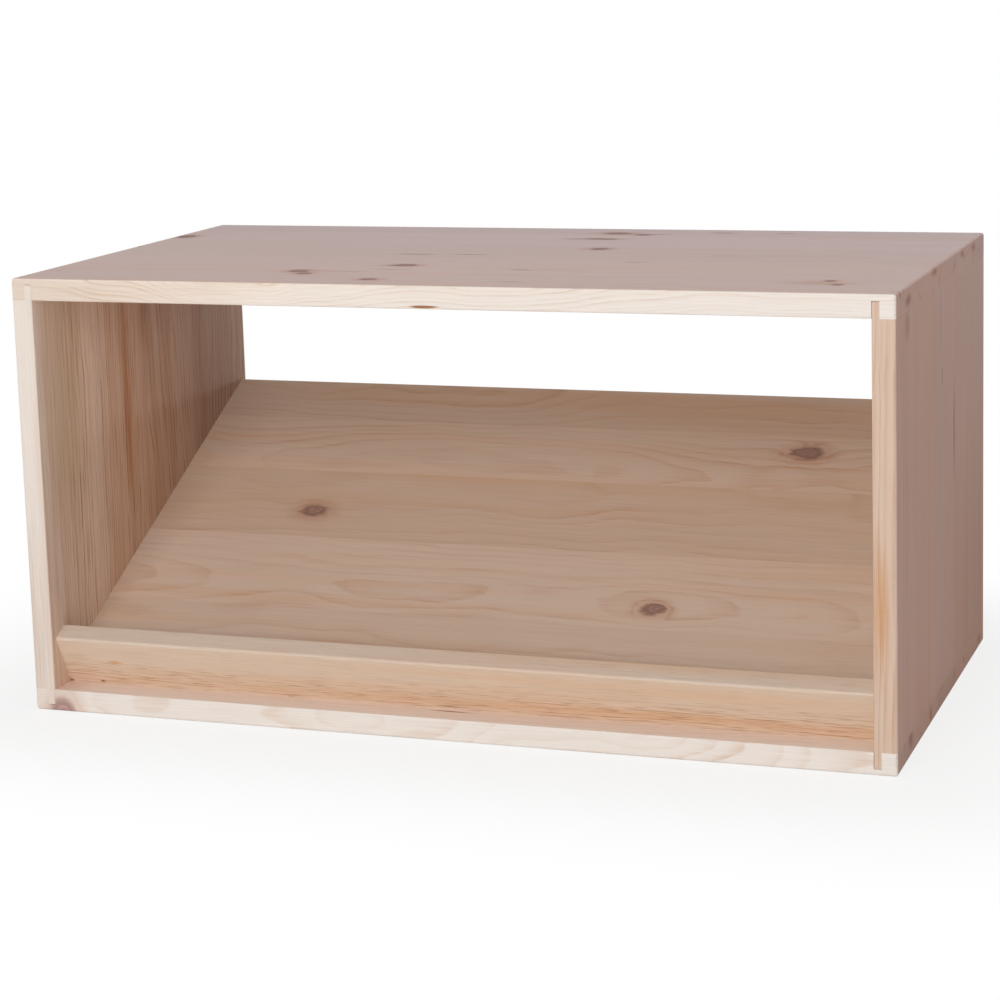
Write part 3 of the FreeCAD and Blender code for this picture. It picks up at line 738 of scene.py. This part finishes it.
# %% The floor's finish
def pale_floor():
    material = bpy.data.materials.new("pale floor")
    material.use_nodes = True
    sums = Sums(material)
    nodes = material.node_tree.nodes
    shader = nodes["Principled BSDF"]
    place = sums.add("ShaderNodeTexCoord", {}, "Object")
    speckle = [(0.3, linear(232, 231, 229)), (0.7, linear(238, 237, 235))]
    sums.put(shader.inputs["Base Color"], sums.ramp(sums.noise(place, 220.0), speckle))
    shader.inputs["Roughness"].default_value = 0.9
    shader.inputs["Specular IOR Level"].default_value = 0.1
    outside = sums.vector("SUBTRACT", sums.vector("ABSOLUTE", place), HALF_FOOTPRINT)
    far = sums.vector("LENGTH", sums.vector("MAXIMUM", outside), output="Value")
    whiteness = sums.fade(far, 0.0, SHADOW_REACH, SHADOW_WHITE, 1.0)
    glow = nodes.new("ShaderNodeEmission")
    mix = sums.add("ShaderNodeMixShader", {0: sums.times(seen_rays(sums), whiteness),
                                           1: shader.outputs[0], 2: glow.outputs[0]})
    sums.put(nodes["Material Output"].inputs[0], mix)
    return material


# %% The floor
grid = bmesh.new()
bmesh.ops.create_grid(grid, x_segments=1, y_segments=1, size=FLOOR_REACH)
floor_mesh = bpy.data.meshes.new("floor")
grid.to_mesh(floor_mesh)
grid.free()
floor_mesh.materials.append(pale_floor())
floor = bpy.data.objects.new("floor", floor_mesh)
bpy.context.scene.collection.objects.link(floor)
print("floor:", [round(v, 2) for v in floor.dimensions])

# %% The room
ROOM_LIGHT = 0.34
room = bpy.data.worlds.new("room")
room.use_nodes = True
bpy.context.scene.world = room
sums = Sums(room)
background = room.node_tree.nodes["Background"]
background.inputs[0].default_value = (1, 1, 1, 1)
sums.put(background.inputs[1], sums.fade(seen_rays(sums), 0.0, 1.0, ROOM_LIGHT, 1.0))
print("room light:", ROOM_LIGHT)


# %% [markdown]
# A sun or a spot would draw hard shadows, so the lamps are rectangles of light. The larger one is, seen from
# the rack, the softer the shadows it makes.
# The back lamp is a low, wide strip that stays under the level of the top: a lamp that could see the top's
# face at a low angle would lay a sheen over it.

# %% Lamps
def soft_lamp(name, place, aim, width, height, watts):
    light = bpy.data.lights.new(name, "AREA")
    light.shape = "RECTANGLE"
    light.size = width
    light.size_y = height
    light.energy = watts
    lamp = bpy.data.objects.new(name, light)
    lamp.location = place
    lamp.rotation_euler = (Vector(aim) - Vector(place)).to_track_quat("-Z", "Y").to_euler()
    bpy.context.scene.collection.objects.link(lamp)
    print(name, "shines", watts, "W from", place)


soft_lamp("front lamp", (0.0, -2.65, 1.15), (0, 0, 0.15), 1.6, 1.6, 44.5)
soft_lamp("top lamp", (0.2, 0.3, 2.4), (0, 0, 0.2), 1.8, 1.8, 8.0)
soft_lamp("back lamp", (0.0, 2.4, 0.16), (0, 0, 0.16), 1.6, 0.26, 13.0)

# %% [markdown]
# ## The camera
# A long lens from a little to the right and above shows the open front, the top and the right side. The
# lens is moved down and left in its mount, as on a view camera, so that upright edges stay nearly upright.
# The camera could be made to track the rack, but that always keeps it level, and this one is tilted a
# little. So its own axes are worked out from how far it is turned, raised and tilted.

# %% Camera
camera_data = bpy.data.cameras.new("camera")
camera_data.sensor_width = 36
camera_data.lens = 93.09
camera_data.shift_x = -0.03
camera_data.shift_y = -0.125
camera = bpy.data.objects.new("camera", camera_data)
bpy.context.scene.collection.objects.link(camera)
bpy.context.scene.camera = camera

TURN, RISE, TILT = (math.radians(angle) for angle in (19.250, 9.517, -1.591))
back = Vector((math.sin(TURN) * math.cos(RISE), -math.cos(TURN) * math.cos(RISE), math.sin(RISE)))
right = Vector((math.cos(TURN), math.sin(TURN), 0))
up = back.cross(right)
leaning_right = right * math.cos(TILT) + up * math.sin(TILT)
leaning_up = up * math.cos(TILT) - right * math.sin(TILT)
camera.rotation_euler = Matrix((leaning_right, leaning_up, back)).transposed().to_euler()
camera.location = (0.5964, -1.6768, 0.5136)
bpy.context.scene.view_settings.view_transform = "Standard"
print("camera", [round(v, 3) for v in camera.location], "lens", camera_data.lens)
